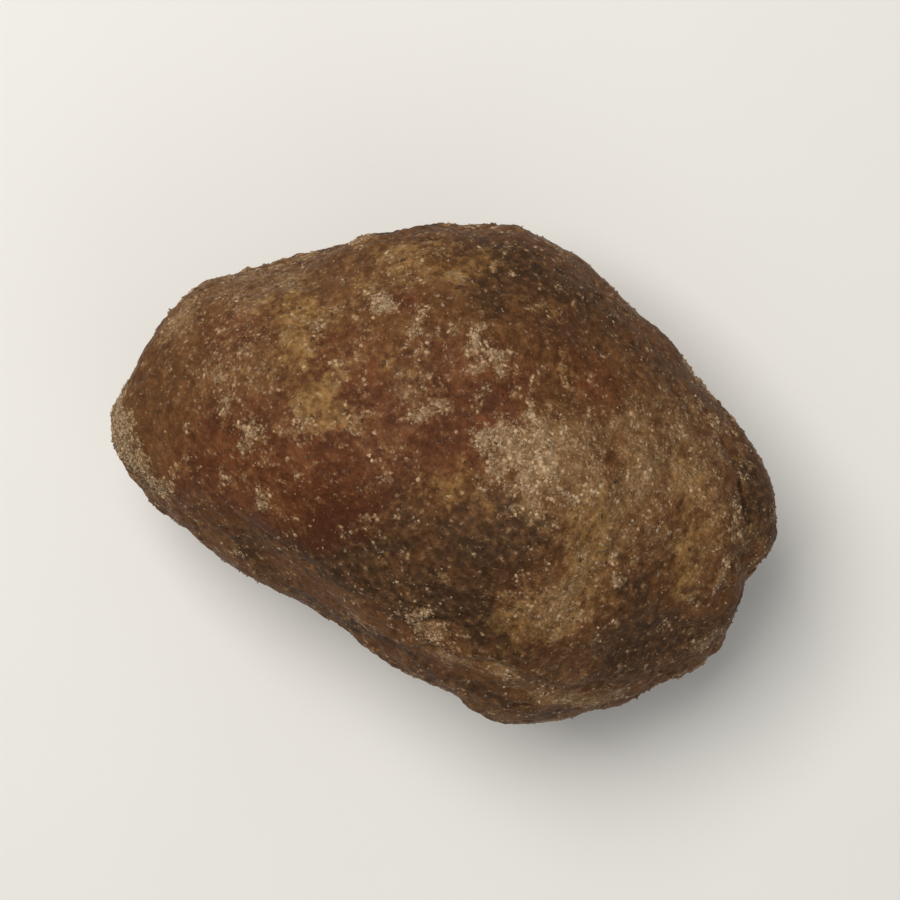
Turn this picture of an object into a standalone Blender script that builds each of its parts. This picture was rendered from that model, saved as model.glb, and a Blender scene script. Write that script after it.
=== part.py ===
"""Jaggery lump: unrefined cane sugar, scooped up warm and shaped by hand into one solid lump.

It lies on the small flat on which it cooled. Its long axis runs along X, from a drawn-out tip
at -X to a blunt end of two lobes at +X. The origin is the middle of the base of its box.
Metres, +Z up.
"""

import math

import bmesh
import bpy
from mathutils import Vector, noise

MM = 0.001
HALF_TURN = 180.0  # degrees

# Driving dimensions of the whole lump.
LENGTH = 94 * MM  # along X
WIDTH = 65.5 * MM  # along Y
HEIGHT = 57 * MM  # along Z, from the flat foot to the crown

# The body that the lump was first rolled into: how far it reaches from its centre along X, Y
# and Z. It is an ellipse from above and fuller than an ellipse from the side.
CORE = Vector((45.6, 31.4, 29.4)) * MM
CORE_FULLNESS = 2.5  # 2 is an ellipse, higher is boxier
# The flat foot, this far below the core's centre, and how tightly its edge is rounded.
FOOT_DROP = 27.2 * MM
FOOT_SHARPNESS = 36
FOOT_FLAT = 0.5 * MM  # what the rounding leaves below this height is pressed level
# The ball of triangles that is pushed into shape: level 5 has 5120 of them, 3 mm long here.
BALL_LEVEL = 5

# Faces pressed flat while the sugar was soft: azimuth and elevation of the face in degrees,
# and how deep it is pressed into the core.
PRESSED_FACES = (
    (-110, 34, 2.6 * MM),
    (-38, 38, 2.2 * MM),
    (14, 58, 2.0 * MM),
    (64, 40, 1.8 * MM),
    (134, 46, 2.4 * MM),
    (-168, 58, 2.2 * MM),
    (-86, -40, 2.6 * MM),
    (30, -38, 2.0 * MM),
    (98, -44, 2.6 * MM),
    (174, -40, 3.0 * MM),
    (-22, -44, 2.8 * MM),
    (-4, -6, 0.6 * MM),
)
# How sharply the pressed faces turn into each other: higher is sharper.
PRESS_SHARPNESS = 14

# Swellings, and hollows with a height below zero: azimuth and elevation of the middle, how far
# it spreads around and upwards, all in degrees, and its height.
SWELLINGS = (
    (-163, -8, 14, 24, 5.8 * MM),  # the drawn-out tip
    (-109, 0, 23, 40, -4.2 * MM),  # the flank squeezed flat beside the tip
    (-46, -4, 20, 32, 2.9 * MM),  # the full corner across from it
    (-13, -8, 9, 22, 1.9 * MM),  # lower lobe of the blunt end
    (12, 4, 10, 20, 2.1 * MM),  # upper lobe of the blunt end
    (38, 8, 11, 20, -1.4 * MM),  # the waist behind that lobe
    (91, 2, 24, 30, 3.2 * MM),  # the back's shoulder
    (148, 4, 16, 26, -3.7 * MM),  # the slack between shoulder and tip
    (-70, 50, 13, 8, -1.4 * MM),  # dents of fingertips
    (-132, 24, 13, 9, -1.5 * MM),
    (66, 17, 11, 9, -1.2 * MM),
    (118, -16, 13, 10, -1.5 * MM),
    (-16, 20, 9, 8, -1.0 * MM),
    (-118, -28, 14, 9, -1.2 * MM),
    (100, 54, 26, 12, 1.2 * MM),
    (-172, 40, 14, 10, 1.0 * MM),
    (-20, 64, 30, 10, 1.2 * MM),
    (-56, -30, 16, 9, 1.4 * MM),
    (44, -34, 20, 12, 1.6 * MM),
    (142, -26, 14, 10, 1.3 * MM),
)

# Creases where one fold of the soft sugar lies on the next. Each is a line of azimuths and
# elevations in degrees, with the crease's half width and depth.
CREASES = (
    (((-4, -30), (-1, -10), (0, 9), (5, 17), (14, 21), (26, 22), (37, 24)), 2.3 * MM, 1.5 * MM),
    (((-92, 20), (-82, 27), (-66, 30), (-47, 23), (-32, 16)), 2.0 * MM, 1.1 * MM),
    (((120, -8), (136, 2), (152, 12), (163, 24)), 2.2 * MM, 0.8 * MM),
    (((60, -16), (78, -24), (98, -22), (116, -30)), 2.2 * MM, 0.9 * MM),
)
CREASE_STEPS = 6  # points between two corners of a crease
CREASE_RUNOUT = 0.7  # a crease fades to nothing this many points beyond each end

# Unevenness of the whole surface: size of its waves, and their height.
WAVES = (
    (17 * MM, 1.0 * MM),
    (8 * MM, 0.55 * MM),
)

# Brown sugar, a little waxy.
SUGAR_COLOUR = (0.135, 0.062, 0.026, 1.0)
SUGAR_ROUGHNESS = 0.62


def toward(azimuth, elevation):
    """The unit vector that points at an azimuth and an elevation, in degrees."""
    a, e = math.radians(azimuth), math.radians(elevation)
    return Vector((math.cos(a) * math.cos(e), math.sin(a) * math.cos(e), math.sin(e)))


def core_reach(normal):
    """How far the core reaches along a normal: where a flat board would touch it."""
    power = CORE_FULLNESS / (CORE_FULLNESS - 1)
    level = math.hypot(CORE.x * normal.x, CORE.y * normal.y)
    return (level**power + abs(CORE.z * normal.z) ** power) ** (1 / power)


def pressed_radius(direction, faces):
    """Distance from the centre to the surface of the core with its pressed faces."""
    level = math.hypot(direction.x / CORE.x, direction.y / CORE.y)
    upright = abs(direction.z / CORE.z)
    core = (level**CORE_FULLNESS + upright**CORE_FULLNESS) ** (1 / CORE_FULLNESS)
    total = core**PRESS_SHARPNESS
    for normal, distance in faces:
        total += (max(0.0, direction.dot(normal)) / distance) ** PRESS_SHARPNESS
    return total ** (-1 / PRESS_SHARPNESS)


def swelling(direction):
    """Height of all swellings and hollows in a direction."""
    azimuth = math.degrees(math.atan2(direction.y, direction.x))
    elevation = math.degrees(math.asin(direction.z))
    height = 0.0
    for middle, rise, spread_around, spread_up, peak in SWELLINGS:
        turn = (azimuth - middle + HALF_TURN) % (2 * HALF_TURN) - HALF_TURN
        around = turn * math.hypot(direction.x, direction.y) / spread_around
        up = (elevation - rise) / spread_up
        height += peak * math.exp(-(around**2) - up**2)
    return height


def crease_points(corners):
    """Unit vectors close together along a crease, each with its share of the full depth.

    A crease is deepest in its middle and runs out at both ends.
    """
    ways = [toward(*corner) for corner in corners]
    points = []
    for start, end in zip(ways, ways[1:]):
        points += [start.lerp(end, step / CREASE_STEPS).normalized() for step in range(CREASE_STEPS)]
    points.append(ways[-1])
    whole = len(points) - 1 + 2 * CREASE_RUNOUT
    shares = [math.sin(math.pi * (i + CREASE_RUNOUT) / whole) for i in range(len(points))]
    return list(zip(points, shares))


def crease_depth(direction, radius, creases):
    """Depth of the creases at a point of the surface."""
    deepest = 0.0
    for points, half_width, depth in creases:
        for point, share in points:
            across = (direction - point).length * radius / half_width
            deepest = max(deepest, depth * share * math.exp(-(across**2)))
    return deepest


def unevenness(point):
    """Height of the uneven surface at a point."""
    return sum(height * noise.noise(point / size) for size, height in WAVES)


def foot_radius(direction, radius):
    """The radius cut back to the foot's level, with a rounded edge around the foot."""
    below = max(0.0, -direction.z) * radius / FOOT_DROP
    return radius * (1 + below**FOOT_SHARPNESS) ** (-1 / FOOT_SHARPNESS)


def shape_lump(ball):
    """Pushes each vertex of a unit ball out to the lump's surface, and flattens the foot."""
    faces = []
    for azimuth, elevation, depth in PRESSED_FACES:
        normal = toward(azimuth, elevation)
        faces.append((normal, core_reach(normal) - depth))
    creases = [(crease_points(corners), width, depth) for corners, width, depth in CREASES]
    for vertex in ball.verts:
        direction = vertex.co.normalized()
        radius = pressed_radius(direction, faces) + swelling(direction)
        radius -= crease_depth(direction, radius, creases)
        radius += unevenness(direction * radius)
        vertex.co = direction * foot_radius(direction, radius)
        vertex.co.z = max(vertex.co.z, FOOT_FLAT - FOOT_DROP)


def fit_to_size(ball):
    """Scales the lump to its driving dimensions, and sets the origin in the middle of its base."""
    low = Vector(min(v.co[axis] for v in ball.verts) for axis in range(3))
    high = Vector(max(v.co[axis] for v in ball.verts) for axis in range(3))
    size = high - low
    base = Vector(((low.x + high.x) / 2, (low.y + high.y) / 2, low.z))
    for vertex in ball.verts:
        for axis, wanted in enumerate((LENGTH, WIDTH, HEIGHT)):
            vertex.co[axis] = (vertex.co[axis] - base[axis]) * wanted / size[axis]


def sugar_material():
    """The lump's own brown, without the frosting that lies on it."""
    material = bpy.data.materials.new("brown_sugar")
    material.use_nodes = True
    shader = material.node_tree.nodes["Principled BSDF"]
    shader.inputs["Base Color"].default_value = SUGAR_COLOUR
    shader.inputs["Roughness"].default_value = SUGAR_ROUGHNESS
    material.diffuse_color = SUGAR_COLOUR
    return material


def make_lump(collection):
    """The lump as one closed solid."""
    ball = bmesh.new()
    bmesh.ops.create_icosphere(ball, subdivisions=BALL_LEVEL, radius=1.0)
    shape_lump(ball)
    fit_to_size(ball)
    mesh = bpy.data.meshes.new("jaggery_lump")
    ball.to_mesh(mesh)
    ball.free()
    mesh.shade_smooth()
    mesh.materials.append(sugar_material())
    lump = bpy.data.objects.new("jaggery_lump", mesh)
    collection.objects.link(lump)
    return lump


def main():
    for old in list(bpy.context.scene.objects):
        bpy.data.objects.remove(old)
    collection = bpy.data.collections.new("jaggery")
    bpy.context.scene.collection.children.link(collection)
    make_lump(collection)


main()
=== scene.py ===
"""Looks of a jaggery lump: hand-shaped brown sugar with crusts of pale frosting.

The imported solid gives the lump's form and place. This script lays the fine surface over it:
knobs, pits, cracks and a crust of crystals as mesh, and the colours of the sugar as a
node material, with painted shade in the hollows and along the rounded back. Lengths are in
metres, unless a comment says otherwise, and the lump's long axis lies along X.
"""

import math
from typing import NamedTuple

import bmesh
import bpy
import numpy as np
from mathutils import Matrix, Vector, kdtree, noise


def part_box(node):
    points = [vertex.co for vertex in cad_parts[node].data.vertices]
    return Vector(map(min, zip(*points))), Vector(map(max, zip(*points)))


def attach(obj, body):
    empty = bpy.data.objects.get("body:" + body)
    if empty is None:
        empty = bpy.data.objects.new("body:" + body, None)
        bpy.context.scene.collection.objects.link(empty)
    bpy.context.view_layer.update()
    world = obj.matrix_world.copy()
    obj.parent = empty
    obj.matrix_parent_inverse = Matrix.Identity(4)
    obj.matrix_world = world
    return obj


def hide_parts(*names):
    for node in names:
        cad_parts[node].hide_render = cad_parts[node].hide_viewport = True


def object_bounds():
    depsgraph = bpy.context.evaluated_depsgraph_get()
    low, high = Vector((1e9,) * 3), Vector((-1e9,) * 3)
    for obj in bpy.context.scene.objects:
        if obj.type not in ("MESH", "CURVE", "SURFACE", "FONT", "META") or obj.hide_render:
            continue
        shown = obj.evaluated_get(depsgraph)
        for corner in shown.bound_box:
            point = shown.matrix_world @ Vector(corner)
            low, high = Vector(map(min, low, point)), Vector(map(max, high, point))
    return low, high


MM = 0.001
SEED = 1848
NODE = "jaggery_lump"
BODY = "root"

# Fineness of the surface mesh.
WELD = 0.01 * MM
ROUNDING_LEVELS = 2
VOXEL = 0.5 * MM
SMOOTHING = 0.5
SMOOTHING_ROUNDS = 7

# Places on the shown face are shares of the lump's half length and half width, from the
# middle: (1, 0) is the blunt end and (0, 1) is the rounded back. A patch is its place, its
# radius and how strong it is. Patches run into each other with frayed edges.
FROST_PATCHES = (
    (0.07, 0.10, 1.6 * MM, 1.1),
    (0.13, 0.20, 1.4 * MM, 0.8),
    (0.12, 0.11, 2.0 * MM, 0.6),
    (0.16, 0.12, 2.6 * MM, 0.4),
    (0.21, 0.24, 1.6 * MM, 0.9),
    (0.22, 0.10, 2.6 * MM, 0.6),
    (0.13, 0.03, 2.4 * MM, 0.9),
    (0.14, -0.05, 1.8 * MM, 0.7),
    (0.20, 0.05, 2.0 * MM, 0.6),
    (0.23, -0.03, 2.0 * MM, 0.7),
    (0.32, -0.06, 1.8 * MM, 0.6),
    (0.30, 0.24, 3.6 * MM, 0.2),
    (0.38, 0.22, 2.6 * MM, 0.25),
    (-0.33, 0.49, 1.4 * MM, 1.9),
    (-0.325, 0.43, 1.3 * MM, 1.7),
    (-0.22, 0.46, 1.3 * MM, 1.0),
    (-0.215, 0.39, 1.2 * MM, 0.9),
    (-0.07, 0.50, 1.2 * MM, 1.2),
    (-0.04, 0.43, 1.6 * MM, 1.1),
    (0.03, 0.42, 1.2 * MM, 0.9),
    (-0.02, 0.35, 1.1 * MM, 1.0),
    (0.05, 0.36, 1.0 * MM, 0.7),
    (-0.11, 0.11, 1.0 * MM, 1.9),
    (-0.07, 0.12, 0.8 * MM, 1.8),
    (-0.08, 0.17, 0.8 * MM, 1.6),
    (0.17, 0.42, 1.0 * MM, 0.7),
    (-0.49, 0.25, 1.0 * MM, 1.0),
    (-0.44, 0.36, 1.2 * MM, 0.5),
    (-0.74, 0.14, 1.4 * MM, 0.7),
    (-0.76, 0.26, 1.8 * MM, 0.6),
    (-0.70, -0.06, 1.3 * MM, 0.8),
    (-0.64, -0.15, 1.1 * MM, 0.8),
    (-0.54, -0.27, 1.7 * MM, 0.8),
    (-0.53, -0.36, 1.2 * MM, 0.7),
    (-0.46, -0.46, 1.5 * MM, 0.8),
    (-0.43, -0.10, 0.9 * MM, 0.9),
    (-0.20, -0.19, 1.1 * MM, 0.7),
    (0.57, -0.25, 1.6 * MM, 0.9),
    (0.47, -0.21, 1.3 * MM, 0.8),
    (0.52, -0.40, 1.8 * MM, 0.6),
    (0.40, 0.06, 1.2 * MM, 0.7),
    (0.78, -0.36, 1.5 * MM, 0.8),
    (0.93, -0.32, 2.0 * MM, 0.8),
    (0.70, 0.54, 1.8 * MM, 0.8),
    (0.14, -0.73, 2.2 * MM, 0.8),
    (0.20, -0.74, 1.8 * MM, 0.75),
    (0.08, -0.70, 1.5 * MM, 0.7),
    (0.02, -0.74, 1.6 * MM, 0.75),
    (0.12, -0.66, 1.2 * MM, 0.7),
    (0.12, 0.80, 1.4 * MM, 0.5),
)
# A streak is a patch drawn out along a line: its corners, its half width and its strength.
FROST_STREAKS = (
    (((0.19, 0.29), (0.23, 0.20), (0.27, 0.11), (0.33, 0.03), (0.40, -0.02)), 0.65 * MM, 1.6),
    (((0.83, 0.30), (0.86, 0.18), (0.86, 0.05), (0.88, -0.04), (0.88, -0.14)), 1.0 * MM, 0.8),
    (((0.20, -0.81), (0.34, -0.79), (0.50, -0.82), (0.66, -0.77)), 1.0 * MM, 0.5),
    (((0.06, 0.09), (0.13, 0.19), (0.20, 0.18)), 0.8 * MM, 0.5),
)
# Thin bloom over wider stretches.
HAZE_PATCHES = (
    (0.46, 0.18, 9.0 * MM, 0.60),
    (0.22, 0.08, 5.0 * MM, 0.50),
    (0.28, 0.26, 4.0 * MM, 0.45),
    (0.34, -0.03, 3.4 * MM, 0.40),
    (0.52, 0.00, 6.0 * MM, 0.40),
    (0.72, 0.12, 6.0 * MM, 0.40),
    (0.82, -0.12, 4.0 * MM, 0.40),
    (0.92, -0.34, 3.0 * MM, 0.45),
    (0.56, 0.44, 8.0 * MM, 0.40),
    (0.50, -0.32, 5.0 * MM, 0.60),
    (0.44, -0.46, 4.0 * MM, 0.50),
    (0.30, -0.50, 3.0 * MM, 0.30),
    (0.14, -0.72, 3.4 * MM, 0.45),
    (0.56, -0.68, 5.0 * MM, 0.40),
    (-0.36, 0.58, 8.0 * MM, 0.34),
    (-0.72, 0.36, 7.0 * MM, 0.60),
    (-0.88, 0.10, 5.0 * MM, 0.50),
    (-0.56, 0.10, 10.0 * MM, 0.28),
    (-0.72, -0.06, 7.0 * MM, 0.22),
    (-0.46, -0.42, 5.0 * MM, 0.16),
    (-0.16, 0.26, 9.0 * MM, 0.20),
    (-0.20, -0.10, 7.0 * MM, 0.14),
    (0.94, 0.10, 5.0 * MM, 0.40),
    (0.74, 0.44, 6.0 * MM, 0.30),
)
HAZE_STREAKS = (
    (((0.16, -0.82), (0.34, -0.79), (0.52, -0.83), (0.72, -0.72)), 2.0 * MM, 0.6),
)
CRUST_PATCHES = (
    (-0.99, -0.34, 2.4 * MM, 1.1),
    (-0.95, -0.46, 2.6 * MM, 1.0),
    (-0.88, -0.58, 2.6 * MM, 1.0),
    (-0.80, -0.66, 2.6 * MM, 1.0),
)
CRUST_STREAKS = (
    (((-0.97, -0.34), (-0.90, -0.45), (-0.83, -0.55), (-0.76, -0.61)), 3.1 * MM, 1.5),
)
OCHRE_PATCHES = (
    (-0.55, 0.31, 4.0 * MM, 0.8),
    (-0.52, 0.18, 3.0 * MM, 0.5),
    (-0.39, 0.0, 2.7 * MM, 1.25),
    (-0.45, 0.08, 2.8 * MM, 0.6),
    (-0.26, 0.26, 2.8 * MM, 0.75),
    (-0.23, 0.18, 2.4 * MM, 0.5),
    (-0.42, 0.44, 4.0 * MM, 0.5),
    (-0.38, 0.64, 5.0 * MM, 0.6),
    (-0.20, 0.72, 5.0 * MM, 0.45),
    (0.52, 0.26, 5.0 * MM, 0.6),
    (0.40, 0.06, 4.0 * MM, 0.7),
    (0.66, 0.30, 4.0 * MM, 0.6),
    (0.48, -0.04, 5.0 * MM, 0.8),
    (0.46, -0.14, 4.0 * MM, 0.7),
    (0.05, -0.12, 3.2 * MM, 1.15),
    (0.16, -0.10, 2.4 * MM, 0.5),
    (0.50, -0.34, 4.4 * MM, 1.0),
    (0.46, -0.24, 3.0 * MM, 0.6),
    (0.48, -0.46, 3.8 * MM, 0.9),
    (0.32, -0.52, 3.4 * MM, 0.9),
    (0.74, 0.06, 4.6 * MM, 0.8),
    (0.77, -0.14, 3.4 * MM, 0.8),
    (0.15, -0.73, 3.0 * MM, 0.5),
    (0.40, -0.66, 4.0 * MM, 0.5),
    (-0.80, 0.16, 4.0 * MM, 0.5),
    (0.22, 0.40, 4.0 * MM, 0.4),
)
OCHRE_STREAKS = (
    (((-0.63, 0.46), (-0.57, 0.31), (-0.52, 0.15), (-0.39, -0.01)), 3.0 * MM, 0.6),
    (((-0.66, 0.42), (-0.50, 0.52), (-0.34, 0.66), (-0.12, 0.76)), 3.4 * MM, 0.5),
    (((0.18, -0.80), (0.34, -0.78), (0.50, -0.82), (0.66, -0.77)), 1.4 * MM, 0.9),
    (((0.60, 0.34), (0.70, 0.20), (0.76, 0.02), (0.76, -0.14)), 2.0 * MM, 0.5),
)
RED_PATCHES = (
    (-0.20, -0.36, 4.6 * MM, 1.3),
    (-0.30, -0.42, 4.6 * MM, 0.8),
    (-0.28, -0.54, 4.0 * MM, 1.0),
    (-0.40, -0.24, 9.0 * MM, 0.8),
    (-0.64, -0.34, 9.0 * MM, 0.9),
    (-0.68, -0.54, 4.0 * MM, 0.7),
    (-0.46, -0.54, 4.0 * MM, 0.8),
    (-0.30, 0.50, 2.4 * MM, 1.2),
    (-0.24, 0.52, 1.8 * MM, 0.9),
    (-0.38, 0.20, 5.0 * MM, 0.9),
    (-0.70, 0.14, 6.0 * MM, 0.9),
    (-0.02, 0.04, 7.0 * MM, 0.9),
    (-0.26, -0.02, 8.0 * MM, 0.8),
    (0.04, 0.28, 5.0 * MM, 1.0),
    (-0.12, 0.34, 6.0 * MM, 0.6),
    (0.34, 0.44, 5.0 * MM, 0.7),
    (0.18, 0.60, 8.0 * MM, 0.6),
    (0.62, 0.28, 1.8 * MM, 0.8),
    (0.62, 0.06, 2.6 * MM, 0.7),
    (0.30, -0.42, 4.0 * MM, 0.5),
)
# Dark umber sugar. The patches that lie across 0.6 and more darken the rounded back as painted shade.
UMBER_AND_SHADE_PATCHES = (
    (0.14, -0.26, 6.0 * MM, 0.80),
    (0.26, -0.34, 5.0 * MM, 0.70),
    (0.34, -0.20, 4.0 * MM, 0.60),
    (-0.06, -0.26, 4.0 * MM, 0.50),
    (-0.20, -0.37, 4.4 * MM, 0.75),
    (-0.24, -0.55, 5.0 * MM, 0.70),
    (0.18, -0.55, 3.0 * MM, 1.3),
    (0.27, -0.62, 2.6 * MM, 0.9),
    (-0.40, -0.64, 4.6 * MM, 0.80),
    (-0.22, -0.62, 6.0 * MM, 0.90),
    (-0.08, -0.44, 4.0 * MM, 0.60),
    (-0.02, -0.66, 6.0 * MM, 0.80),
    (0.08, -0.48, 5.0 * MM, 0.60),
    (0.64, -0.22, 5.0 * MM, 0.65),
    (0.72, -0.44, 8.0 * MM, 0.85),
    (0.40, -0.66, 8.0 * MM, 0.80),
    (0.16, -0.64, 5.0 * MM, 0.60),
    (0.70, -0.62, 5.0 * MM, 0.60),
    (0.90, -0.36, 6.0 * MM, 0.80),
    (0.64, -0.02, 3.0 * MM, 0.6),
    (0.96, 0.22, 5.0 * MM, 0.8),
    (0.88, 0.40, 5.0 * MM, 0.7),
    (0.96, -0.14, 4.0 * MM, 0.7),
    (0.20, 0.78, 9.0 * MM, 0.8),
    (0.48, 0.66, 6.0 * MM, 0.7),
    (0.64, 0.62, 4.0 * MM, 0.6),
    (-0.06, 0.84, 7.0 * MM, 0.8),
    (-0.40, 0.86, 6.0 * MM, 0.8),
    (-0.26, 0.78, 6.0 * MM, 0.5),
    (-0.04, 0.62, 6.0 * MM, 0.6),
    (0.14, 0.50, 4.0 * MM, 0.5),
    (0.04, 0.24, 3.0 * MM, 0.5),
    (-0.54, 0.66, 3.0 * MM, 0.4),
    (-0.50, 0.36, 2.0 * MM, 0.7),
    (-0.64, -0.48, 3.0 * MM, 0.4),
)
# Dark streaks along the lower edge, along the rim fold, and two short ones on the shown face.
DARK_STREAKS = (
    (((-0.48, -0.70), (-0.20, -0.82), (0.10, -0.87), (0.36, -0.90), (0.60, -0.88)), 2.4 * MM, 0.9),
    (((0.92, 0.06), (0.90, 0.16), (0.88, 0.30), (0.80, 0.46)), 1.2 * MM, 1.0),
    (((0.20, -0.12), (0.28, -0.11), (0.36, -0.14)), 1.0 * MM, 0.8),
    (((0.34, 0.17), (0.40, 0.14)), 0.8 * MM, 0.7),
)


class Kind(NamedTuple):
    """A kind of sugar: where it lies on the shown face, and how it begins at its edges."""

    patches: tuple
    streaks: tuple
    low: float  # there is none below this level
    high: float  # there is as much as can be above this level
    most: float  # how much that is, from 0 to 1
    roughness: float  # how strongly the small noise frays its edges
    blotches: float  # how much more strongly the middle-sized noise does


KINDS = {
    "frost": Kind(FROST_PATCHES, FROST_STREAKS, 0.05, 1.25, 0.72, 0.62, 0.0),
    "crust": Kind(CRUST_PATCHES, CRUST_STREAKS, 0.15, 1.3, 0.85, 0.6, 0.0),
    "ochre": Kind(OCHRE_PATCHES, OCHRE_STREAKS, 0.0, 1.5, 1.0, 0.4, 0.45),
    "red": Kind(RED_PATCHES, (), 0.15, 1.0, 1.0, 0.14, 0.0),
    # Dark umber sugar, and painted shade along the rounded back.
    "umber_and_shade": Kind(UMBER_AND_SHADE_PATCHES, DARK_STREAKS, 0.0, 1.4, 1.0, 0.3, -0.25),
}
HAZE_GRAIN = 0.14  # how strongly the small noise shows in the haze

# The surface belongs to the shown face from these shares of the lump's height upwards, and
# where the upward part of its normal is more than these values: barely from the first on, and
# wholly from the second on.
SHOWN_HEIGHTS = (0.36, 0.56)
SHOWN_SLOPES = (0.05, 0.4)
# A place on it is looked up among the points above this share of the lump's height.
LOOKUP_HEIGHT = 0.3
LOOKUP_POINTS = 6

# Noise is given as the size of its waves, its octaves, and an offset that picks a stretch of it.
FRACTAL_SMOOTHNESS = 0.9
FRACTAL_STEP = 2.1  # how much finer each octave is than the one before
CELL_STEEPNESS = 1.6  # how steeply a cell pattern rises from the cells' borders
BROAD = (15 * MM, 3, 3.7)
MIDDLE = (5 * MM, 3, 8.1)
SMALL = (1.9 * MM, 3, 21.0)
CRUST_STRETCHES = (11 * MM, 3, 31.0)
UMBER_STRETCHES = (11 * MM, 4, 43.0)
# Pushes that bend and fray what is laid on the lump: the size of their waves, how far they
# push, and an offset.
PATCH_PUSHES = (
    (7 * MM, 1.4 * MM, 0.0),
    (2.4 * MM, 1.1 * MM, 11.3),
    (0.9 * MM, 0.5 * MM, 17.9),
)
LINE_PUSH = (5 * MM, 1.2 * MM, 5.0)
PIT_PUSH = (1.3 * MM, 0.5 * MM, 14.0)
KNOB_PUSH = (3 * MM, 0.8 * MM, 2.0)
CRACK_PUSH = (6 * MM, 1.6 * MM, 3.0)

# Folds of the sugar over itself: corners of the fold's line, half width, depth, and how much
# lower the surface lies on the line's right-hand side.
RIM_FOLD = ((0.99, -0.06), (0.92, 0.05), (0.88, 0.20), (0.82, 0.36), (0.70, 0.54))
LIP_FOLD = ((0.00, -0.86), (0.16, -0.80), (0.36, -0.745), (0.56, -0.745), (0.74, -0.64))
UNDER_LIP_FOLD = ((0.12, -0.92), (0.30, -0.89), (0.48, -0.90), (0.64, -0.83))
FLANK_FOLD = ((-0.62, -0.52), (-0.40, -0.62), (-0.15, -0.68), (0.06, -0.64))
CRESCENT_FOLD = ((0.19, 0.28), (0.23, 0.19), (0.27, 0.11), (0.33, 0.03), (0.42, -0.03))
END_FOLD = ((0.84, 0.10), (0.86, -0.06), (0.84, -0.22))
FOLDS = (
    (RIM_FOLD, 0.8 * MM, 0.7 * MM, 0.9 * MM),
    (LIP_FOLD, 0.7 * MM, 0.6 * MM, 0.7 * MM),
    (UNDER_LIP_FOLD, 0.5 * MM, 0.5 * MM, 0.3 * MM),
    (FLANK_FOLD, 0.5 * MM, 0.35 * MM, 0.3 * MM),
    (CRESCENT_FOLD, 0.45 * MM, -0.15 * MM, -0.2 * MM),
    (END_FOLD, 0.4 * MM, 0.35 * MM, 0.2 * MM),
)
LINE_STEP = 0.25 * MM
FOLD_REACH = 9 * MM  # how far a fold is felt
FOLD_FADE = 0.6  # the share of that reach over which its lower side rises again

# Pits left by air bubbles and by crumbs that broke away: how many, their smallest and largest
# radius, and their depth as a share of the radius.
PIT_KINDS = (
    (34, 1.0 * MM, 1.8 * MM, 0.26),
    (260, 0.5 * MM, 0.95 * MM, 0.42),
)
PIT_BOWL = 1.3  # 1 is a round bowl, higher draws its edge out
PITTED_STRETCHES = (9 * MM, 3, 50.0)

# The surface's own unevenness. Heights given in pairs are in millimetres: the height on the
# shown face, and what is added to it on the sides.
WAVE_HEIGHTS = (0.56, 0.22)
WAVES = (8 * MM, 3, 1.0)
KNOB_HEIGHTS = (0.24, 0.2)
KNOB_SIZE = 4.2 * MM
KNOB_STRETCHES = (12 * MM, 2, 17.0)
CLOD_HEIGHTS = (0.10, 0.06)
CLOD_SIZE = 1.7 * MM
CLOD_OFFSET = 9.0
GRAIN_HEIGHT = 0.11 * MM
GRAIN = (1.1 * MM, 3, 4.0)
# Frost and crust lie on the sugar in plates.
PLATE_HEIGHT = 0.10 * MM
PLATE_GRAIN_HEIGHT = 0.20 * MM
PLATE_GRAIN = (1.0 * MM, 3, 6.0)
# Hairline cracks run along the middle level of a broad noise, here and there.
CRACK_HEIGHTS = (0.5, 0.25)
CRACK_COURSES = (27 * MM, 2, 12.0)
CRACK_WIDTH = 0.03  # as a difference of that noise's level
CRACK_STRETCHES = (16 * MM, 2, 40.0)
# All relief runs out between these heights above the foot.
FOOT_CLEAR = (0.15 * MM, 2.2 * MM)
# How far a point lies below the mean of its surroundings where a hollow begins, and where it
# is a full one. The material darkens the hollows by this as painted shade.
HOLLOW_DEPTHS = (0.02 * MM, 0.32 * MM)
HOLLOW_ROUNDS = 10  # how many points away the surroundings reach
AVERAGING = 0.6  # the neighbours' share in each round


def srgb(red, green, blue):
    """A colour given in screen values from 0 to 255, as the linear values that shaders take."""
    linear = []
    for value in (red, green, blue):
        share = value / 255
        linear.append(share / 12.92 if share <= 0.04045 else ((share + 0.055) / 1.055) ** 2.4)
    return (*linear, 1.0)


def smoothstep(low, high, values):
    """0 below low, 1 above high, and a smooth rise between."""
    share = np.clip((values - low) / (high - low), 0.0, 1.0)
    return share * share * (3 - 2 * share)


def fractal(points, size, octaves, offset):
    """Fractal noise of about -1 to 1 at the points, with waves of a size and finer ones."""
    shifted = (points / size + offset).tolist()
    return np.array([noise.fractal(p, FRACTAL_SMOOTHNESS, FRACTAL_STEP, octaves) for p in shifted])


def wobbled(points, size, push, offset):
    """The points, pushed about by noise, so that what is measured from them frays."""
    shifted = (points / size + offset).tolist()
    return points + push * np.array([noise.noise_vector(p) for p in shifted])


def cell_edges(points, size, offset=0.0):
    """0 on the borders between the cells of a cell pattern, rising to 1 inside them."""
    shifted = (points / size + offset).tolist()
    nearest = np.array([noise.voronoi(p)[0][:2] for p in shifted])
    return np.clip((nearest[:, 1] - nearest[:, 0]) * CELL_STEEPNESS, 0.0, 1.0)


def tree_of(points):
    """A search tree of the points."""
    tree = kdtree.KDTree(len(points))
    for index, point in enumerate(points):
        tree.insert(point, index)
    tree.balance()
    return tree


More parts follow.
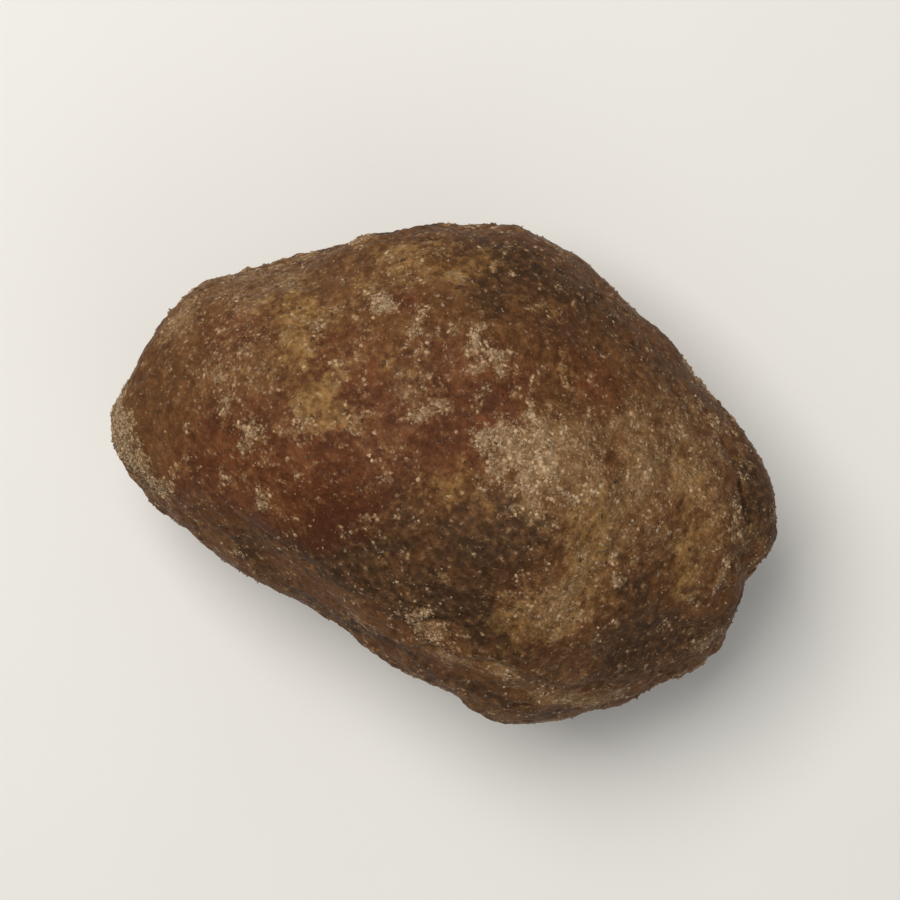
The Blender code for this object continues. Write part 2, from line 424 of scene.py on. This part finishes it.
def fine_mesh(source):
    """A copy of the CAD solid's mesh, rounded and rebuilt of small even faces."""
    lump = bpy.data.objects.new("lump_body", source.data.copy())
    bpy.context.scene.collection.objects.link(lump)
    lump.data.materials.clear()
    welded = bmesh.new()
    welded.from_mesh(lump.data)
    bmesh.ops.remove_doubles(welded, verts=welded.verts, dist=WELD)
    welded.to_mesh(lump.data)
    welded.free()
    rounding = lump.modifiers.new("rounding", "SUBSURF")
    rounding.levels = rounding.render_levels = ROUNDING_LEVELS
    remesh = lump.modifiers.new("remesh", "REMESH")
    remesh.mode = "VOXEL"
    remesh.voxel_size = VOXEL
    smooth = lump.modifiers.new("smooth", "SMOOTH")
    smooth.factor = SMOOTHING
    smooth.iterations = SMOOTHING_ROUNDS
    evaluated = lump.evaluated_get(bpy.context.evaluated_depsgraph_get())
    mesh = bpy.data.meshes.new_from_object(evaluated)
    lump.modifiers.clear()
    lump.data = mesh
    return lump


def read(mesh, what):
    """The mesh's coordinates, "co", or its vertex normals, "normal", one row for each vertex."""
    values = np.empty(len(mesh.vertices) * 3, np.float32)
    mesh.vertices.foreach_get(what, values)
    return values.reshape(-1, 3).astype(float)


class Face:
    """The shown face of the lump: turns shares of its length and width into points on it."""

    def __init__(self, points, low, high):
        self.middle = (low + high) / 2
        self.half = (high - low) / 2
        self.low = low
        self.high = high
        self.upper = points[points[:, 2] > low[2] + LOOKUP_HEIGHT * (high[2] - low[2])]
        self.tree = tree_of(self.upper * (1, 1, 0))

    def point(self, along, across):
        """The highest surface point near a place, as an array."""
        x = self.middle[0] + along * self.half[0]
        y = self.middle[1] + across * self.half[1]
        near = self.tree.find_n((x, y, 0.0), LOOKUP_POINTS)
        return max((self.upper[index] for _, index, _ in near), key=lambda p: p[2])

    def shown(self, points, normals):
        """1 where the surface is seen from above, falling to 0 on the steep sides and below."""
        height = (points[:, 2] - self.low[2]) / (self.high[2] - self.low[2])
        return smoothstep(*SHOWN_HEIGHTS, height) * smoothstep(*SHOWN_SLOPES, normals[:, 2])


def line_on(face, corners):
    """Points close together on the surface along a line of places."""
    knots = np.array([face.point(*corner) for corner in corners])
    reach = np.concatenate([[0.0], np.cumsum(np.linalg.norm(np.diff(knots, axis=0), axis=1))])
    places = np.arange(0.0, reach[-1], LINE_STEP)
    line = np.stack([np.interp(places, reach, knots[:, axis]) for axis in range(3)], axis=1)
    return wobbled(line, *LINE_PUSH)


def near_line(points, line, reach):
    """True for the points in the line's box, widened by a reach on all sides."""
    low = line.min(axis=0) - reach
    high = line.max(axis=0) + reach
    return np.all((points > low) & (points < high), axis=1)


def cover(face, points, patches, streaks):
    """How strongly patches and streaks cover each point."""
    total = np.zeros(len(points))
    for along, across, radius, strength in patches:
        distance = np.linalg.norm(points - face.point(along, across), axis=1)
        total += strength * np.exp(-((distance / radius) ** 2))
    for corners, half_width, strength in streaks:
        line = line_on(face, corners)
        near = near_line(points, line, 3 * half_width)
        away = points[near][:, None, :] - line[None, :, :]
        distance = np.linalg.norm(away, axis=2).min(axis=1)
        total[near] += strength * np.exp(-((distance / half_width) ** 2))
    return total


def chance_levels(points, broad, middle):
    """Levels of each kind of sugar on the sides and below, where it lies by chance.

    Red lies on some broad stretches of the lump, and ochre and frost rather on the others.
    """
    return {
        "frost": 0.04 + 0.8 * middle - 0.6 * broad,
        "crust": fractal(points, *CRUST_STRETCHES) - 0.15,
        "ochre": 0.3 - 1.1 * broad + 0.5 * middle,
        "red": 0.4 + 1.2 * broad,
        "umber_and_shade": 0.35 + 1.1 * fractal(points, *UMBER_STRETCHES),
        "haze": 0.28 + 0.6 * broad,
    }


def sugar_kinds(face, points, normals):
    """How much of each kind of sugar lies at each point, from 0 to 1."""
    aside = 1 - face.shown(points, normals)
    frayed = points
    for push in PATCH_PUSHES:
        frayed = wobbled(frayed, *push)
    broad = fractal(points, *BROAD)
    middle = fractal(points, *MIDDLE)
    small = fractal(points, *SMALL)
    chance = chance_levels(points, broad, middle)
    kinds = {}
    for name, kind in KINDS.items():
        level = cover(face, frayed, kind.patches, kind.streaks) + aside * chance[name]
        uneven = kind.roughness * small + (0.5 * kind.roughness + kind.blotches) * middle
        kinds[name] = kind.most * smoothstep(kind.low, kind.high, level + uneven)
    haze = cover(face, frayed, HAZE_PATCHES, HAZE_STREAKS) + aside * chance["haze"]
    kinds["haze"] = np.clip(haze * (1 + middle) + HAZE_GRAIN * small, 0, 1)
    return kinds


def fold_relief(face, points):
    """Height of the folds: a groove along each line, and a lower surface on its right."""
    height = np.zeros(len(points))
    for corners, half_width, depth, drop in FOLDS:
        line = line_on(face, corners)
        tree = tree_of(line)
        ahead = np.gradient(line, axis=0)
        strength = np.sin(np.pi * (np.arange(len(line)) + 1) / (len(line) + 1)) ** 0.5
        for index in np.nonzero(near_line(points, line, FOLD_REACH))[0]:
            _, closest, distance = tree.find(points[index])
            away = points[index] - line[closest]
            right = away[0] * ahead[closest][1] - away[1] * ahead[closest][0]
            share = strength[closest]
            height[index] -= depth * share * math.exp(-((distance / half_width) ** 2))
            if right > 0:
                fade = math.exp(-((distance / (FOLD_FADE * FOLD_REACH)) ** 2))
                height[index] -= drop * share * fade * min(1.0, distance / half_width)
    return height


def pit_relief(points, chance, rng):
    """Height of the pits, each a bowl of uneven outline."""
    bent = wobbled(points, *PIT_PUSH)
    tree = tree_of(bent)
    height = np.zeros(len(points))
    for count, smallest, largest, depth_share in PIT_KINDS:
        for centre in rng.choice(len(points), count, p=chance / chance.sum()):
            radius = rng.uniform(smallest, largest)
            depth = depth_share * radius * rng.uniform(0.6, 1.1)
            for _, index, distance in tree.find_range(bent[centre], radius):
                bowl = (1 - (distance / radius) ** 2) ** PIT_BOWL
                height[index] = min(height[index], -depth * bowl)
    return height


def higher_aside(heights, aside):
    """A height in metres: the first of two in millimetres, and the second added on the sides."""
    shown, added = heights
    return (shown + added * aside) * MM


def grain_relief(points, kinds, aside):
    """Height of the surface's own unevenness.

    It is calm where the sugar is smooth and red, and rougher on the sides and below, where
    `aside` is 1.
    """
    calm = np.clip(kinds["red"] - 0.6 * kinds["frost"], 0, 1)
    rough = 1 - 0.6 * calm
    frayed = wobbled(points, *KNOB_PUSH)
    knobs = smoothstep(0.0, 0.7, cell_edges(frayed, KNOB_SIZE)) - 0.8
    knobbly = smoothstep(-0.1, 0.35, fractal(points, *KNOB_STRETCHES))
    clods = smoothstep(0.0, 0.7, cell_edges(frayed, CLOD_SIZE, CLOD_OFFSET)) - 0.7
    height = higher_aside(WAVE_HEIGHTS, aside) * fractal(points, *WAVES) * rough
    height += higher_aside(KNOB_HEIGHTS, aside) * knobs * knobbly * rough
    height += higher_aside(CLOD_HEIGHTS, aside) * clods * rough
    height += GRAIN_HEIGHT * fractal(points, *GRAIN) * (0.45 + 0.55 * rough)
    plates = smoothstep(0.3, 0.9, np.maximum(kinds["frost"], kinds["crust"]))
    height += plates * (PLATE_HEIGHT + PLATE_GRAIN_HEIGHT * np.abs(fractal(points, *PLATE_GRAIN)))
    level = np.abs(fractal(wobbled(points, *CRACK_PUSH), *CRACK_COURSES))
    cracks = 1 - smoothstep(0.0, CRACK_WIDTH, level)
    cracks *= smoothstep(0.05, 0.3, fractal(points, *CRACK_STRETCHES) + 0.4 * aside - 0.25)
    height -= higher_aside(CRACK_HEIGHTS, aside) * cracks
    return height


def neighbour_mean(values, edges, rounds):
    """The values, each averaged again and again with those of the vertices next to it."""
    count = np.bincount(edges.ravel(), minlength=len(values)).astype(float)
    for _ in range(rounds):
        total = np.bincount(edges[:, 0], values[edges[:, 1]], len(values))
        total += np.bincount(edges[:, 1], values[edges[:, 0]], len(values))
        values = (1 - AVERAGING) * values + AVERAGING * total / count
    return values


def hollows(mesh, height):
    """How deep each vertex lies below its surroundings, from 0 to 1."""
    edges = np.empty(len(mesh.edges) * 2, np.int32)
    mesh.edges.foreach_get("vertices", edges)
    surroundings = neighbour_mean(height, edges.reshape(-1, 2), HOLLOW_ROUNDS)
    return smoothstep(*HOLLOW_DEPTHS, surroundings - height)


def shape_surface(lump, low, high, rng):
    """Lays the relief on the fine mesh, and stores the kinds of sugar and the depth of the hollows,
    which the material darkens as painted shade.
    """
    mesh = lump.data
    points = read(mesh, "co")
    normals = read(mesh, "normal")
    face = Face(points, low, high)
    kinds = sugar_kinds(face, points, normals)
    pitted = smoothstep(-0.15, 0.4, fractal(points, *PITTED_STRETCHES))
    pit_chance = (1 - 0.85 * kinds["red"]) * pitted + 0.02
    height = grain_relief(points, kinds, 1 - face.shown(points, normals))
    height += fold_relief(face, points)
    height += pit_relief(points, pit_chance, rng)
    height *= smoothstep(*FOOT_CLEAR, points[:, 2] - low[2])
    kinds["hollow"] = hollows(mesh, height)
    points = points + normals * height[:, None]
    points[:, 2] = np.maximum(points[:, 2], low[2])
    mesh.vertices.foreach_set("co", points.astype(np.float32).ravel())
    for name, values in kinds.items():
        layer = mesh.attributes.new(name, "FLOAT", "POINT")
        layer.data.foreach_set("value", values.astype(np.float32))
    mesh.shade_smooth()
    mesh.update()
    return kinds


class Shader:
    """Builds a node material around its Principled shader."""

    def __init__(self, name):
        self.material = bpy.data.materials.new(name)
        self.material.use_nodes = True
        self.tree = self.material.node_tree
        self.principled = self.tree.nodes["Principled BSDF"]

    def add(self, kind, inputs=None, output=0, **settings):
        """Adds a node with its settings and inputs, and returns one of its outputs."""
        node = self.tree.nodes.new(kind)
        for name, value in settings.items():
            setattr(node, name, value)
        for socket, value in (inputs or {}).items():
            self.put(node.inputs[socket], value)
        return node.outputs[output]

    def put(self, socket, value):
        """Links an output into a socket, or sets the socket's own value."""
        if isinstance(value, bpy.types.NodeSocket):
            self.tree.links.new(value, socket)
        else:
            socket.default_value = value

    def set(self, **values):
        """Sets sockets of the Principled shader, named with _ for each space."""
        for name, value in values.items():
            self.put(self.principled.inputs[name.replace("_", " ")], value)

    def place(self):
        """Coordinates that stay with the object."""
        return self.add("ShaderNodeTexCoord", output="Object")

    def stored(self, name):
        """An amount stored on the mesh."""
        return self.add("ShaderNodeAttribute", output="Fac", attribute_name=name)

    def noise(self, size, detail=3.0, roughness=0.55):
        """Noise from 0 to 1 with waves of a size in metres."""
        inputs = {"Vector": self.place(), "Scale": 1 / size, "Detail": detail, "Roughness": roughness}
        return self.add("ShaderNodeTexNoise", inputs, output="Fac")

    def grains(self, size):
        """Grains of a size in metres, packed side by side: their height, and two tones each."""
        inputs = {"Vector": self.place(), "Scale": 1 / size}
        distance = self.add("ShaderNodeTexVoronoi", inputs, output="Distance")
        color = distance.node.outputs["Color"]
        tone = self.add("ShaderNodeSeparateColor", {"Color": color}, output="Red")
        return self.math("SUBTRACT", 1.0, distance), tone, tone.node.outputs["Green"]

    def math(self, operation, first, second=0.0, third=0.0, clamp=False):
        """One arithmetic step."""
        inputs = {0: first, 1: second, 2: third}
        return self.add("ShaderNodeMath", inputs, operation=operation, use_clamp=clamp)

    def rise(self, value, low, high, bottom=0.0, top=1.0):
        """Maps low..high onto bottom..top with a smooth rise."""
        inputs = {"Value": value, "From Min": low, "From Max": high, "To Min": bottom, "To Max": top}
        return self.add("ShaderNodeMapRange", inputs, interpolation_type="SMOOTHSTEP")

    def mix(self, share, first, second, blend="MIX"):
        """Mixes two colours by a share."""
        node = self.tree.nodes.new("ShaderNodeMix")
        node.data_type = "RGBA"
        node.blend_type = blend
        # The node has sockets for each data type: these are its factor and its two colours.
        for socket, value in ((0, share), (6, first), (7, second)):
            self.put(node.inputs[socket], value)
        return node.outputs[2]

    def bump(self, height, distance, strength=1.0, normal=None):
        """A surface normal bent by a height from 0 to 1 that is a distance in metres high."""
        inputs = {"Height": height, "Distance": distance, "Strength": strength}
        if normal is not None:
            inputs["Normal"] = normal
        return self.add("ShaderNodeBump", inputs)


# Colours of the sugar and of painted shade, in screen values.
BROWN_DEEP = srgb(80, 49, 23)
BROWN = srgb(106, 69, 37)
RED_DEEP = srgb(71, 33, 10)
RED = srgb(105, 58, 28)
# Dark umber, also used as painted shade along the rounded back.
UMBER_AND_SHADE_DEEP = srgb(50, 33, 16)
UMBER_AND_SHADE = srgb(79, 54, 34)
OCHRE_DEEP = srgb(104, 72, 32)
OCHRE = srgb(156, 119, 68)
BLOOM = srgb(132, 100, 64)
FROST_DEEP = srgb(118, 88, 57)
FROST = srgb(204, 174, 138)
CRUST_DEEP = srgb(108, 80, 49)
CRUST = srgb(188, 158, 120)
# Painted shade: the deep brown that the hollows are darkened towards.
HOLLOW_SHADE = srgb(42, 24, 10)
CRYSTAL_DEEP = srgb(98, 70, 42)
CRYSTAL = srgb(192, 166, 132)
CRUMB_DEEP = srgb(70, 44, 22)
CRUMB = srgb(128, 94, 58)

# Sizes of what the materials show.
CLOUD_SIZE = 4.6 * MM
MOTTLE_SIZE = 1.2 * MM
FINE_SIZE = 0.38 * MM
GRAIN_SIZE = 0.5 * MM
SPECK_SIZE = 0.27 * MM


def stained_sugar(s, small, mottle, uneven):
    """The sugar's colours: browns, dark umber with painted shade along the rounded back, reddish waxy
    stretches, ochre stains and a thin bloom.
    """
    color = s.mix(s.rise(mottle, 0.34, 0.64), BROWN_DEEP, BROWN)
    # Umber: dark sugar, and painted shade along the rounded back.
    umber_and_shade_colors = s.mix(s.rise(small, 0.36, 0.66), UMBER_AND_SHADE_DEEP, UMBER_AND_SHADE)
    umber_and_shade = s.math("MULTIPLY_ADD", uneven, -0.6, s.stored("umber_and_shade"))
    color = s.mix(s.rise(umber_and_shade, 0.0, 1.0, 0.0, 0.88), color, umber_and_shade_colors)
    red_tone = s.math("MULTIPLY_ADD", s.stored("umber_and_shade"), -0.22, mottle)
    reds = s.mix(s.rise(red_tone, 0.34, 0.66), RED_DEEP, RED)
    color = s.mix(s.math("MULTIPLY", s.stored("red"), 0.85), color, reds)
    ochres = s.mix(s.rise(mottle, 0.38, 0.62), OCHRE_DEEP, OCHRE)
    ochre = s.math("MULTIPLY_ADD", uneven, 1.7, s.stored("ochre"))
    color = s.mix(s.rise(ochre, 0.05, 1.15, 0.0, 0.78), color, ochres)
    haze = s.math("MULTIPLY_ADD", uneven, 1.1, s.stored("haze"))
    return s.mix(s.rise(haze, 0.0, 1.0, 0.0, 0.62), color, BLOOM)


def pale_grains(s, amount, grain, chance):
    """Where grains are pale: the more, the higher the amount. Each grain has its own chance."""
    pale = s.rise(s.math("SUBTRACT", amount, chance), -0.08, 0.16)
    return s.math("MULTIPLY", pale, s.rise(grain, 0.3, 0.6, 0.35, 1.0))


def frosted_sugar(s, color, uneven, grains):
    """The colour with frost, crust and pale specks over it, and where these are dull."""
    grain, chance, tone = grains
    _, speck_chance, speck_tone = s.grains(SPECK_SIZE)
    color = s.mix(1.0, color, s.rise(tone, 0.0, 1.0, 0.86, 1.14), "MULTIPLY")
    thin = s.math("MULTIPLY_ADD", s.stored("haze"), 0.42, s.stored("frost"))
    thin = s.math("MULTIPLY_ADD", uneven, 0.5, thin)
    frost = s.math("MULTIPLY_ADD", s.stored("haze"), 0.2, s.stored("frost"))
    frost = s.math("MULTIPLY_ADD", uneven, 0.7, frost)
    crust = s.math("MULTIPLY_ADD", uneven, 0.7, s.stored("crust"))
    color = s.mix(s.rise(frost, 0.1, 1.0, 0.0, 0.55), color, FROST_DEEP)
    color = s.mix(s.rise(crust, 0.1, 0.9, 0.0, 0.85), color, CRUST_DEEP)
    frost_grain = pale_grains(s, frost, grain, chance)
    crust_grain = pale_grains(s, crust, grain, chance)
    speck = s.rise(s.math("SUBTRACT", thin, speck_chance), -0.1, 0.2, 0.0, 0.36)
    color = s.mix(speck, color, s.mix(speck_tone, FROST_DEEP, FROST))
    frosts = s.mix(s.rise(tone, 0.1, 1.0), FROST_DEEP, FROST)
    color = s.mix(s.math("MULTIPLY", frost_grain, 0.8), color, frosts)
    crusts = s.mix(tone, CRUST_DEEP, CRUST)
    color = s.mix(s.math("MULTIPLY", crust_grain, 0.8), color, crusts)
    return color, s.math("MAXIMUM", frost_grain, crust_grain)


def sugar_material():
    """The lump's sugar with its frosting: colours, painted shade in the hollows and along the rounded
    back, gloss and the finest relief.
    """
    s = Shader("brown_sugar")
    fine = s.noise(FINE_SIZE, 4.0, 0.65)
    small = s.noise(MOTTLE_SIZE, 4.0, 0.62)
    cloud = s.noise(CLOUD_SIZE, 4.0, 0.62)
    mottle = s.math("MULTIPLY_ADD", cloud, 0.5, s.math("MULTIPLY", small, 0.5))
    uneven = s.math("SUBTRACT", small, 0.5)
    grains = s.grains(GRAIN_SIZE)
    color = stained_sugar(s, small, mottle, uneven)
    color, dull = frosted_sugar(s, color, uneven, grains)
    # Painted shade: the hollows are darkened towards a deep brown.
    color = s.mix(s.math("MULTIPLY", s.stored("hollow"), 0.4), color, HOLLOW_SHADE)
    waxy = s.rise(s.stored("red"), 0.2, 0.9, 0.62, 0.5)
    s.set(Base_Color=color, Roughness=s.math("MULTIPLY_ADD", dull, 0.25, waxy, clamp=True))
    normal = s.bump(small, 0.45 * MM, 0.7)
    normal = s.bump(grains[0], 0.14 * MM, 0.7, normal)
    crusted = s.math("MULTIPLY_ADD", dull, 0.6, s.math("MULTIPLY", fine, 0.8))
    normal = s.bump(crusted, 0.18 * MM, 0.7, normal)
    s.set(Normal=normal, Subsurface_Weight=0.2, Subsurface_Scale=1.2 * MM)
    s.set(Subsurface_Radius=(1.0, 0.4, 0.18), IOR=1.45, Specular_IOR_Level=0.14)
    return s.material


def crystal_material():
    """Sugar crystals, from brownish to pale, a little see-through."""
    s = Shader("sugar_crystal")
    s.set(Base_Color=s.mix(s.stored("tone"), CRYSTAL_DEEP, CRYSTAL))
    s.set(Roughness=0.4, Subsurface_Weight=0.25, Subsurface_Scale=0.5 * MM)
    s.set(Subsurface_Radius=(1.0, 0.7, 0.45), IOR=1.5, Specular_IOR_Level=0.4)
    return s.material


def crumb_material():
    """Brown crumbs that broke off the lump."""
    s = Shader("brown_crumb")
    color = s.mix(s.stored("tone"), CRUMB_DEEP, CRUMB)
    normal = s.bump(s.noise(0.4 * MM), 0.1 * MM)
    s.set(Base_Color=color, Roughness=0.65, Normal=normal, IOR=1.45, Specular_IOR_Level=0.3)
    return s.material


def crystal_shape():
    """A squat double pyramid, the smallest closed crystal: corners and faces."""
    corners = [(1, 0, 0), (0, 1, 0), (-1, 0, 0), (0, -1, 0), (0, 0, 1), (0, 0, -1)]
    faces = [(a, (a + 1) % 4, 4) for a in range(4)] + [((a + 1) % 4, a, 5) for a in range(4)]
    return np.array(corners, float), np.array(faces)


BLOCK_HALF = 0.62  # half a side, so that the corners are about 1 from the middle
BLOCK_TAPER = 0.72


def block_shape():
    """A blunt crystal: a cube with one end drawn in."""
    corners = [(x, y, z) for z in (-1, 1) for y in (-1, 1) for x in (-1, 1)]
    corners = np.array(corners, float) * BLOCK_HALF
    corners[4:, :2] *= BLOCK_TAPER
    quads = [(0, 2, 3, 1), (4, 5, 7, 6), (0, 1, 5, 4), (2, 6, 7, 3), (0, 4, 6, 2), (1, 3, 7, 5)]
    faces = [(q[0], q[i], q[i + 1]) for q in quads for i in (1, 2)]
    return corners, np.array(faces)


def crumb_shape():
    """A ball of a few faces, which each crumb pulls out of shape."""
    ball = bmesh.new()
    bmesh.ops.create_icosphere(ball, subdivisions=1, radius=1.0)
    corners = np.array([v.co[:] for v in ball.verts])
    faces = np.array([[v.index for v in f.verts] for f in ball.faces])
    ball.free()
    return corners, faces


def random_turns(count, rng):
    """Evenly spread random rotations, as matrices."""
    quaternion = rng.normal(size=(count, 4))
    w, x, y, z = (quaternion / np.linalg.norm(quaternion, axis=1)[:, None]).T
    rows = [
        [1 - 2 * (y * y + z * z), 2 * (x * y - z * w), 2 * (x * z + y * w)],
        [2 * (x * y + z * w), 1 - 2 * (x * x + z * z), 2 * (y * z - x * w)],
        [2 * (x * z - y * w), 2 * (y * z + x * w), 1 - 2 * (x * x + y * y)],
    ]
    return np.moveaxis(np.array(rows), 2, 0)


class Grains(NamedTuple):
    """A kind of loose or half-sunk grain."""

    name: str
    count: int
    shape: tuple  # corners about 1 from the middle, and faces
    usual: float  # size across
    largest: float
    lift: float  # how far the middle stands out of the surface, in radii
    uneven: float  # how far each corner is pulled in or out, as a share
    material: bpy.types.Material


SIZE_SPREAD = 0.32
SCATTER = 0.22 * MM  # how far a grain lies from the vertex that it is placed by
FLOOR_GAP = 0.05 * MM  # a grain that comes nearer to the floor is left out
TONE_POWER = 1.5  # 1 makes all tones equally common, higher makes pale ones rarer


def scatter(grains, lump, chance, pale, rng):
    """One piece of many small grains, pressed into the lump's surface where chance says.

    Each grain gets a tone: half by chance, and half by how pale the sugar around it is.
    """
    points = read(lump.data, "co")
    normals = read(lump.data, "normal")
    corners, faces = grains.shape
    count = grains.count
    spots = rng.choice(len(points), count, p=chance / chance.sum())
    across = rng.lognormal(0.0, SIZE_SPREAD, count) * grains.usual
    radius = np.minimum(across, grains.largest) / 2
    aside = rng.normal(scale=SCATTER, size=(count, 3))
    aside -= normals[spots] * np.sum(aside * normals[spots], axis=1)[:, None]
    centres = points[spots] + aside + normals[spots] * (radius * grains.lift)[:, None]
    turned = np.einsum("nij,kj->nki", random_turns(count, rng), corners)
    turned *= 1 + grains.uneven * rng.uniform(-1, 1, size=(count, len(corners), 1))
    vertices = centres[:, None, :] + turned * radius[:, None, None]
    tones = 0.5 * pale[spots] + 0.5 * rng.uniform(size=count) ** TONE_POWER
    above_floor = vertices[:, :, 2].min(axis=1) > FLOOR_GAP
    add_grains(grains, vertices[above_floor], faces, tones[above_floor])


def add_grains(grains, vertices, faces, tones):
    """Makes one piece of grains, given the corners and the tone of each grain."""
    starts = np.arange(len(vertices))[:, None, None] * vertices.shape[1]
    triangles = (faces[None] + starts).reshape(-1, 3)
    mesh = bpy.data.meshes.new(grains.name)
    mesh.from_pydata(vertices.reshape(-1, 3).tolist(), [], triangles.tolist())
    mesh.materials.append(grains.material)
    layer = mesh.attributes.new("tone", "FLOAT", "POINT")
    layer.data.foreach_set("value", np.repeat(tones, vertices.shape[1]).astype(np.float32))
    piece = bpy.data.objects.new(grains.name, mesh)
    bpy.context.scene.collection.objects.link(piece)
    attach(piece, BODY)


SPECKLED_STRETCHES = (3.2 * MM, 3, 60.0)


def scatter_grains(lump, kinds, rng):
    """The loose and half-sunk grains: fine frosting, larger crystals and brown crumbs."""
    points = read(lump.data, "co")
    speckled = smoothstep(0.1, 0.5, fractal(points, *SPECKLED_STRETCHES))
    high = 1 - kinds["hollow"]
    pale = np.maximum(kinds["frost"], 0.8 * kinds["crust"])
    frosting = (pale**1.4 + 0.04 * kinds["haze"] + 0.012 + 0.02 * speckled) * high
    crystals = (pale + 0.05 + 0.1 * kinds["haze"] + 0.1 * speckled) * high
    crumbs = 0.05 + 0.5 * kinds["ochre"] + 0.8 * pale
    crystal = crystal_material()
    crumb = crumb_material()
    fine = Grains("frost_grains", 12000, crystal_shape(), 0.27 * MM, 0.55 * MM, 0.1, 0.35, crystal)
    large = Grains("sugar_crystals", 420, block_shape(), 0.42 * MM, 0.8 * MM, 0.0, 0.25, crystal)
    broken = Grains("brown_crumbs", 700, crumb_shape(), 0.5 * MM, 1.0 * MM, -0.35, 0.45, crumb)
    scatter(fine, lump, frosting, pale, rng)
    scatter(large, lump, crystals, pale, rng)
    scatter(broken, lump, crumbs, pale, rng)


def make_lump(frame, rng):
    """The dressed lump, which stands for the CAD solid."""
    low, high = (np.array(corner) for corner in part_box(NODE))
    lump = fine_mesh(frame["nodes"][NODE])
    kinds = shape_surface(lump, low, high, rng)
    lump.data.materials.append(sugar_material())
    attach(lump, BODY)
    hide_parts(NODE)
    scatter_grains(lump, kinds, rng)


FLOOR_HALF = 3.0
FLOOR_DARK = srgb(226, 224, 218)
FLOOR_LIGHT = srgb(230, 228, 223)


def make_floor():
    """A plain pale floor."""
    mesh = bpy.data.meshes.new("floor")
    corners = [(-1, -1, 0), (1, -1, 0), (1, 1, 0), (-1, 1, 0)]
    corners = [(x * FLOOR_HALF, y * FLOOR_HALF, z) for x, y, z in corners]
    mesh.from_pydata(corners, [], [(0, 1, 2, 3)])
    floor = bpy.data.objects.new("floor", mesh)
    bpy.context.scene.collection.objects.link(floor)
    s = Shader("pale_floor")
    s.set(Base_Color=s.mix(s.noise(50 * MM), FLOOR_DARK, FLOOR_LIGHT), Roughness=0.7)
    mesh.materials.append(s.material)


# The lump lies turned in the picture: its long axis runs down to the right by this angle.
PICTURE_TURN = 21.8
LENS = 100.0
SENSOR = 36.0
FILL = 0.74  # share of the picture's width that the lump's length takes
# Soft boxes: name, azimuth in the picture (0 is right and 90 is up), elevation, distance,
# side, power and colour.
SOFT_BOXES = (
    ("key", 135.0, 66.0, 0.7, 0.4, 4.3, (1.0, 0.975, 0.94)),
    ("fill", 305.0, 40.0, 0.9, 0.7, 0.9, (0.95, 0.97, 1.0)),
)
SURROUND = srgb(236, 237, 238)
SURROUND_STRENGTH = 0.38


def soft_box(target, name, azimuth, elevation, distance, side, power, color):
    """A square soft light that looks at the target."""
    data = bpy.data.lights.new(name, "AREA")
    data.shape = "SQUARE"
    data.size = side
    data.energy = power
    data.color = color
    light = bpy.data.objects.new(name, data)
    bpy.context.scene.collection.objects.link(light)
    a, e = math.radians(azimuth + PICTURE_TURN), math.radians(elevation)
    away = Vector((math.cos(a) * math.cos(e), math.sin(a) * math.cos(e), math.sin(e)))
    light.location = target + away * distance
    light.rotation_euler = away.to_track_quat("Z", "Y").to_euler()


def make_studio(low, high):
    """Camera straight above the lump, soft studio lights and a pale surround."""
    middle = Vector((low + high) / 2)
    camera_data = bpy.data.cameras.new("camera")
    camera_data.lens = LENS
    camera_data.sensor_width = SENSOR
    camera_data.clip_start = 10 * MM
    camera = bpy.data.objects.new("camera", camera_data)
    bpy.context.scene.collection.objects.link(camera)
    distance = (high.x - low.x) / FILL * LENS / SENSOR
    camera.location = middle + Vector((0, 0, distance))
    camera.rotation_euler = (0, 0, math.radians(PICTURE_TURN))
    bpy.context.scene.camera = camera
    for box in SOFT_BOXES:
        soft_box(middle, *box)
    world = bpy.data.worlds.new("surround")
    world.use_nodes = True
    background = world.node_tree.nodes["Background"]
    background.inputs["Color"].default_value = SURROUND
    background.inputs["Strength"].default_value = SURROUND_STRENGTH
    bpy.context.scene.world = world
    bpy.context.scene.view_settings.view_transform = "Standard"


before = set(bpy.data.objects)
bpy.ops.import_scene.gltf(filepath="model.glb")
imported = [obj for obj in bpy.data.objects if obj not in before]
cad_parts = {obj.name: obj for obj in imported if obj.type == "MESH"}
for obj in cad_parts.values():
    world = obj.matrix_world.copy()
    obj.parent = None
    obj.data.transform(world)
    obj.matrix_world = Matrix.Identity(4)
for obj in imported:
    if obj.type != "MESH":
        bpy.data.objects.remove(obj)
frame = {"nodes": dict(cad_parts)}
noise.seed_set(SEED)  # otherwise noise_vector differs from run to run
cad_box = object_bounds()
make_studio(*(Vector(corner) for corner in cad_box))
make_floor()
make_lump(frame, np.random.default_rng(SEED))
